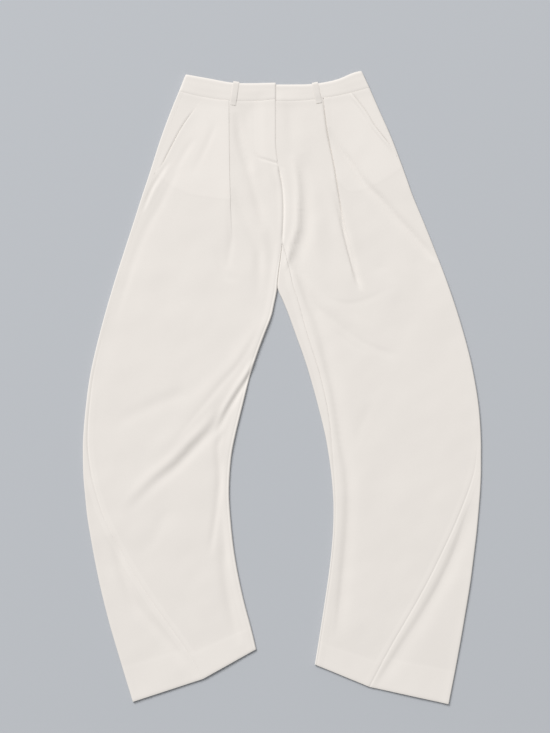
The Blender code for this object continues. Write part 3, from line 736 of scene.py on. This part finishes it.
def band_column(leg, share, inset, z, corner):
    """One column of the waistband, from its seam up over its rounded top edge, at a share of the way from fly to side.
    The band crowns a little between its seam and its top."""
    section = Section(leg, WAIST_SEAM)
    x, drop = section.place(share * section.width - inset)
    centre_x, side_x = leg.band_top[0][0], leg.band_top[-1][0]
    top_x = centre_x + (side_x - centre_x) * share - leg.outward * inset
    top = [(abs(x - centre_x), drop) for x, drop in leg.band_top]
    low = np.array((float(x), float(drop) - 2 * SEAM_GAP))
    high = np.array((top_x, float(smooth(top, abs(top_x - centre_x))) + corner))
    length = np.linalg.norm(high - low)
    along = np.concatenate([EDGE_OFFSETS, np.linspace(EDGE_OFFSETS[-1], length - 6, 7)[1:]])
    along = np.concatenate([along, length - np.array((4.0, 2.6, 1.6, 0.8, 0.3, 0.0))])
    if share < 0:
        low -= np.array((0.0, UNDERLAP_TRIM))
    flat = low + np.outer(along / length, high - low)
    seam = 0.12 * (ease(1.5, 3.5, along) - ease(5.5, 9, along)) - 0.3 * bump(along, 0.9)
    return flat, along, length, z + seam


def cloth_material(name, colour):
    """Ivory suiting: a fine crepe grain with a faint twill, and painted light: a little lighter where the cloth is
    doubled.
    """
    material = bpy.data.materials.new(name)
    material.use_nodes = True
    nodes, links = material.node_tree.nodes, material.node_tree.links
    shader = nodes["Principled BSDF"]
    shader.inputs["Roughness"].default_value = 0.82
    shader.inputs["Sheen Weight"].default_value = 0.12
    shader.inputs["Sheen Roughness"].default_value = 0.6
    shader.inputs["Specular IOR Level"].default_value = 0.25
    place = nodes.new("ShaderNodeTexCoord").outputs["Object"]

    def noise(scale, detail):
        node = nodes.new("ShaderNodeTexNoise")
        node.inputs["Scale"].default_value = scale
        node.inputs["Detail"].default_value = detail
        links.new(place, node.inputs["Vector"])
        return node.outputs["Fac"]

    def mixed(amount, first, second):
        node = nodes.new("ShaderNodeMix")
        node.data_type = "RGBA"
        links.new(amount, node.inputs["Factor"])
        for socket, value in ((node.inputs["A"], first), (node.inputs["B"], second)):
            if isinstance(value, tuple):
                socket.default_value = (*value, 1.0)
            else:
                links.new(value, socket)
        return node.outputs["Result"]

    def scaled(value, low, high):
        node = nodes.new("ShaderNodeMapRange")
        node.inputs["To Min"].default_value = low
        node.inputs["To Max"].default_value = high
        links.new(value, node.inputs["Value"])
        return node.outputs["Result"]

    def shade(factor):
        return tuple(channel * factor for channel in colour)

    doubled = nodes.new("ShaderNodeAttribute")
    doubled.attribute_name = "layers"
    broad = mixed(noise(7.0, 2.0), shade(0.975), shade(1.0))
    grain = mixed(noise(900.0, 3.0), shade(0.92), shade(1.02))
    body = mixed(scaled(noise(160.0, 2.0), 0.25, 0.75), broad, grain)
    # Painted light: where the cloth is doubled, its colour is made a little lighter.
    doubled_painted_light = mixed(scaled(doubled.outputs["Fac"], 0.0, 0.5), body, shade(1.02))
    links.new(doubled_painted_light, shader.inputs["Base Color"])

    twill = nodes.new("ShaderNodeTexWave")
    twill.bands_direction = "DIAGONAL"
    twill.inputs["Scale"].default_value = 420.0
    twill.inputs["Distortion"].default_value = 2.0
    twill.inputs["Detail"].default_value = 1.0
    links.new(place, twill.inputs["Vector"])
    height = nodes.new("ShaderNodeMath")
    height.operation = "MULTIPLY_ADD"
    links.new(twill.outputs["Fac"], height.inputs[0])
    height.inputs[1].default_value = 0.35
    links.new(noise(1400.0, 2.0), height.inputs[2])
    surface = nodes.new("ShaderNodeBump")
    surface.inputs["Strength"].default_value = 0.35
    surface.inputs["Distance"].default_value = 0.0001
    links.new(height.outputs[0], surface.inputs["Height"])
    links.new(surface.outputs["Normal"], shader.inputs["Normal"])
    return material


IVORY = (0.815, 0.772, 0.728)


def lay(name, grid, layers, thickness, is_cloth=None, colour=IVORY):
    rows, columns = grid.shape[:2]
    build = bmesh.new()
    # The 'layers' attribute carries how far doubled cloth shows, for the painted light in the material.
    depth = build.verts.layers.float.new("layers")
    made = {}

    def corner(row, column):
        if (row, column) not in made:
            vertex = build.verts.new(grid[row, column] * MM)
            vertex[depth] = layers[row, column]
            made[row, column] = vertex
        return made[row, column]

    for row in range(rows - 1):
        for column in range(columns - 1):
            if is_cloth is None or is_cloth(row, column):
                around = ((row, column), (row, column + 1), (row + 1, column + 1), (row + 1, column))
                build.faces.new([corner(*place) for place in around])
    bmesh.ops.recalc_face_normals(build, faces=build.faces)
    mesh = bpy.data.meshes.new(f"{name}_cloth")
    build.to_mesh(mesh)
    build.free()
    mesh.materials.append(cloth_material(f"{name}_suiting", colour))
    mesh.shade_smooth()
    piece = bpy.data.objects.new(f"{name}_cloth", mesh)
    bpy.context.scene.collection.objects.link(piece)
    wall = piece.modifiers.new("wall", "SOLIDIFY")
    wall.thickness = thickness * MM
    wall.offset = 0.0
    bpy.context.view_layer.update()
    graph = bpy.context.evaluated_depsgraph_get()
    shell = bpy.data.meshes.new_from_object(piece.evaluated_get(graph), preserve_all_data_layers=True, depsgraph=graph)
    shell.set_sharp_from_angle(angle=math.radians(RIM_ANGLE))
    piece.modifiers.clear()
    piece.data = shell
    bpy.data.meshes.remove(mesh)
    shell.name = f"{name}_cloth"
    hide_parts(name)
    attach(piece, "root")
    return piece


def waistband():
    """One strip, from its end under the fly, round by the left side and the back, to its end over the fly."""
    radius = (BAND_FRONT_Z - BAND_BACK_Z) / 2
    fold = radius + BAND_CLOTH / 2
    shares = np.append(np.array((0.0, 0.004, 0.01, 0.02)), np.linspace(0.035, 1, BAND_COLUMNS))
    angles = np.radians(np.linspace(75, -75, 9))

    def top_roll(along, length):
        return bump(length - along, 1.3)

    def front(leg, share):
        end_z = BAND_LAP_Z if leg is RIGHT else BAND_UNDER_Z
        near = 1 - ease(BAND_LAP_FROM, BAND_LAP_TO, share)
        z = BAND_FRONT_Z + (end_z - BAND_FRONT_Z) * near
        flat, along, length, heights = band_column(leg, share, fold * share, z, 0.0)
        level = seam_height(leg, share) - (BAND_CLOTH - CLOTH) / 2 + 0.12
        heights += (level - z) * (1 - ease(0, SEAM_BLEND, along)) * ease(0.0, 0.05, share)
        crown = 0.2 * np.sin(np.pi * along / length) + 0.25 * bump(length - 4 - along, 3.0)
        x = flat[:, 0]
        edge = -0.6 * bump(share * 160, 0.9) if leg is RIGHT else 0.0
        z = heights + crown - 0.7 * top_roll(along, length) + 0.5 * wavy(x, flat[:, 1]) + edge
        return np.stack([x, MIDDLE_DROP - flat[:, 1], z], axis=-1)

    def side(leg, angle):
        inset = fold - radius * math.cos(angle)
        z = (BAND_FRONT_Z + BAND_BACK_Z) / 2 + radius * math.sin(angle)
        flat, along, length, _ = band_column(leg, 1.0, inset, z, BAND_CORNER * math.cos(angle))
        upper = 0.5 + 0.5 * math.sin(angle)
        heights = z + upper * (0.2 * np.sin(np.pi * along / length) - 0.7 * top_roll(along, length))
        return np.stack([flat[:, 0], MIDDLE_DROP - flat[:, 1], heights], axis=-1)

    def back(leg, share):
        flat, _, _, _ = band_column(leg, share, fold * share, BAND_BACK_Z, 0.0)
        return np.stack([flat[:, 0], MIDDLE_DROP - flat[:, 1], np.full(len(flat), BAND_BACK_Z)], axis=-1)

    columns = [front(LEFT, -BAND_UNDERLAP / Section(LEFT, WAIST_SEAM).width * u) for u in (1.0, 0.5)]
    columns += [front(LEFT, share) for share in shares]
    columns += [side(LEFT, angle) for angle in angles]
    columns += [back(LEFT, share) for share in np.linspace(1, 0, 12)]
    columns += [back(RIGHT, share) for share in np.linspace(0, 1, 12)[1:]]
    columns += [side(RIGHT, angle) for angle in angles[::-1]]
    columns += [front(RIGHT, share) for share in shares[::-1]]
    return np.array(columns)


def belt_loop(leg):
    """A strip sewn on below the waistband, over it, and turned down behind its top edge."""
    low, high = np.array(leg.loop, float)
    length = np.linalg.norm(high - low)
    along = (high - low) / length
    beside = np.array((-along[1], along[0]))
    over_front = HIP_Z + 0.7 * WAIST_RISE + (CLOTH + LOOP_CLOTH) / 2 + 0.1
    over_band = BAND_FRONT_Z + 0.2 + (BAND_CLOTH + LOOP_CLOTH) / 2 + LOOP_LIFT
    rows = (
        (0.0, over_front - 0.1),
        (0.5, over_front),
        (4.0, over_front + 0.15),
        (7.0, over_front + 0.4),
        (11.0, over_band),
        (length / 2, over_band + LOOP_ARCH),
        (length - 4.0, over_band + 0.2),
        (length - 2.2, over_band - 0.1),
        (length - 0.8, over_band - 0.7),
        (length, over_band - 1.8),
        (length + 0.1, over_band - 3.0),
    )
    offsets = np.array((-5.0, -4.7, -4.2, -3.5, -2.6, -1.3, 0.0, 1.3, 2.6, 3.5, 4.2, 4.7, 5.0)) * LOOP_WIDTH / 10
    roll = -0.3 * bump(5 - np.abs(offsets), 0.5) - 0.1 * bump(np.abs(offsets) - 3.6, 0.5)
    near_end = length - np.array((4.0, 3.0, 2.2, 1.4, 0.8, 0.3, 0.0, -0.1))
    runs = np.concatenate([np.array((0.0, 0.4, 1.0, 2.0, 3.0)), np.linspace(4.4, length - 5, 18), near_end])
    grid = []
    for run in runs:
        z = float(smooth(rows, run))
        spots = low + along * run + np.outer(offsets, beside)
        grid.append(np.stack([spots[:, 0], MIDDLE_DROP - spots[:, 1], z + roll], axis=-1))
    return np.array(grid)


def dress():
    """Makes every piece of cloth."""
    for leg in (RIGHT, LEFT):
        name = leg.name
        grid, layers = front_panel(leg)
        lay(f"front_{name}", grid, layers, CLOTH)
        grid, layers = back_panel(leg)
        lay(f"back_{name}", grid, layers, CLOTH, is_back)
        grid = pocket_bag(leg)
        # The bag gets a fixed share of the painted light of doubled cloth.
        lay(f"pocket_bag_{name}", grid, np.ones(grid.shape[:2]) * 0.5, BAG_CLOTH)
        grid = belt_loop(leg)
        plain = np.zeros(grid.shape[:2])
        # Painted shade: the loops get a darker copy of the ivory.
        shaded_ivory = tuple(LOOP_PAINTED_SHADE * channel for channel in IVORY)
        lay(f"belt_loop_{name}", grid, plain, LOOP_CLOTH, colour=shaded_ivory)
    grid = waistband()
    # The lined waistband gets a fixed share of the painted light of doubled cloth.
    lay("waistband", grid, np.ones(grid.shape[:2]) * 0.3, BAND_CLOTH)


def floor():
    """A plain pale floor under the trousers."""
    mesh = bpy.data.meshes.new("floor")
    half = 6.0
    mesh.from_pydata([(-half, -half, 0), (half, -half, 0), (half, half, 0), (-half, half, 0)], [], [(0, 1, 2, 3)])
    material = bpy.data.materials.new("floor_paint")
    material.use_nodes = True
    nodes, links = material.node_tree.nodes, material.node_tree.links
    shader = nodes["Principled BSDF"]
    shader.inputs["Roughness"].default_value = 0.9
    shader.inputs["Specular IOR Level"].default_value = 0.2
    cloud = nodes.new("ShaderNodeTexNoise")
    cloud.inputs["Scale"].default_value = 1.5
    colour = nodes.new("ShaderNodeMix")
    colour.data_type = "RGBA"
    colour.inputs["A"].default_value = (0.48, 0.50, 0.53, 1.0)
    colour.inputs["B"].default_value = (0.50, 0.52, 0.55, 1.0)
    links.new(cloud.outputs["Fac"], colour.inputs["Factor"])
    links.new(colour.outputs["Result"], shader.inputs["Base Color"])
    mesh.materials.append(material)
    ground = bpy.data.objects.new("floor", mesh)
    bpy.context.scene.collection.objects.link(ground)


def lights():
    """A large soft light from the upper left, and an even fill."""
    lamp = bpy.data.lights.new("key", "AREA")
    lamp.shape = "DISK"
    lamp.size = 12.0
    lamp.energy = 4600.0
    key = bpy.data.objects.new("key", lamp)
    across, up, high = -0.5, 0.87, 0.92
    distance = 22.0 / math.sqrt(across**2 + up**2 + high**2)
    key.location = (across * distance, up * distance, high * distance)
    key.rotation_euler = (-key.location).to_track_quat("-Z", "Y").to_euler()
    bpy.context.scene.collection.objects.link(key)
    world = bpy.data.worlds.new("studio")
    world.use_nodes = True
    world.node_tree.nodes["Background"].inputs["Color"].default_value = (1.0, 1.0, 1.0, 1.0)
    world.node_tree.nodes["Background"].inputs["Strength"].default_value = 0.4
    bpy.context.scene.world = world


def camera():
    """Looks straight down, with the framing of the photograph."""
    lens = bpy.data.cameras.new("camera")
    lens.lens = 85.0
    lens.sensor_width = 36.0
    lens.clip_end = 50.0
    eye = bpy.data.objects.new("camera", lens)
    eye.location = (-0.0119, 0.0359, 2.942)
    bpy.context.scene.collection.objects.link(eye)
    bpy.context.scene.camera = eye


bpy.context.scene.view_settings.view_transform = "Standard"
dress()
floor()
lights()
camera()
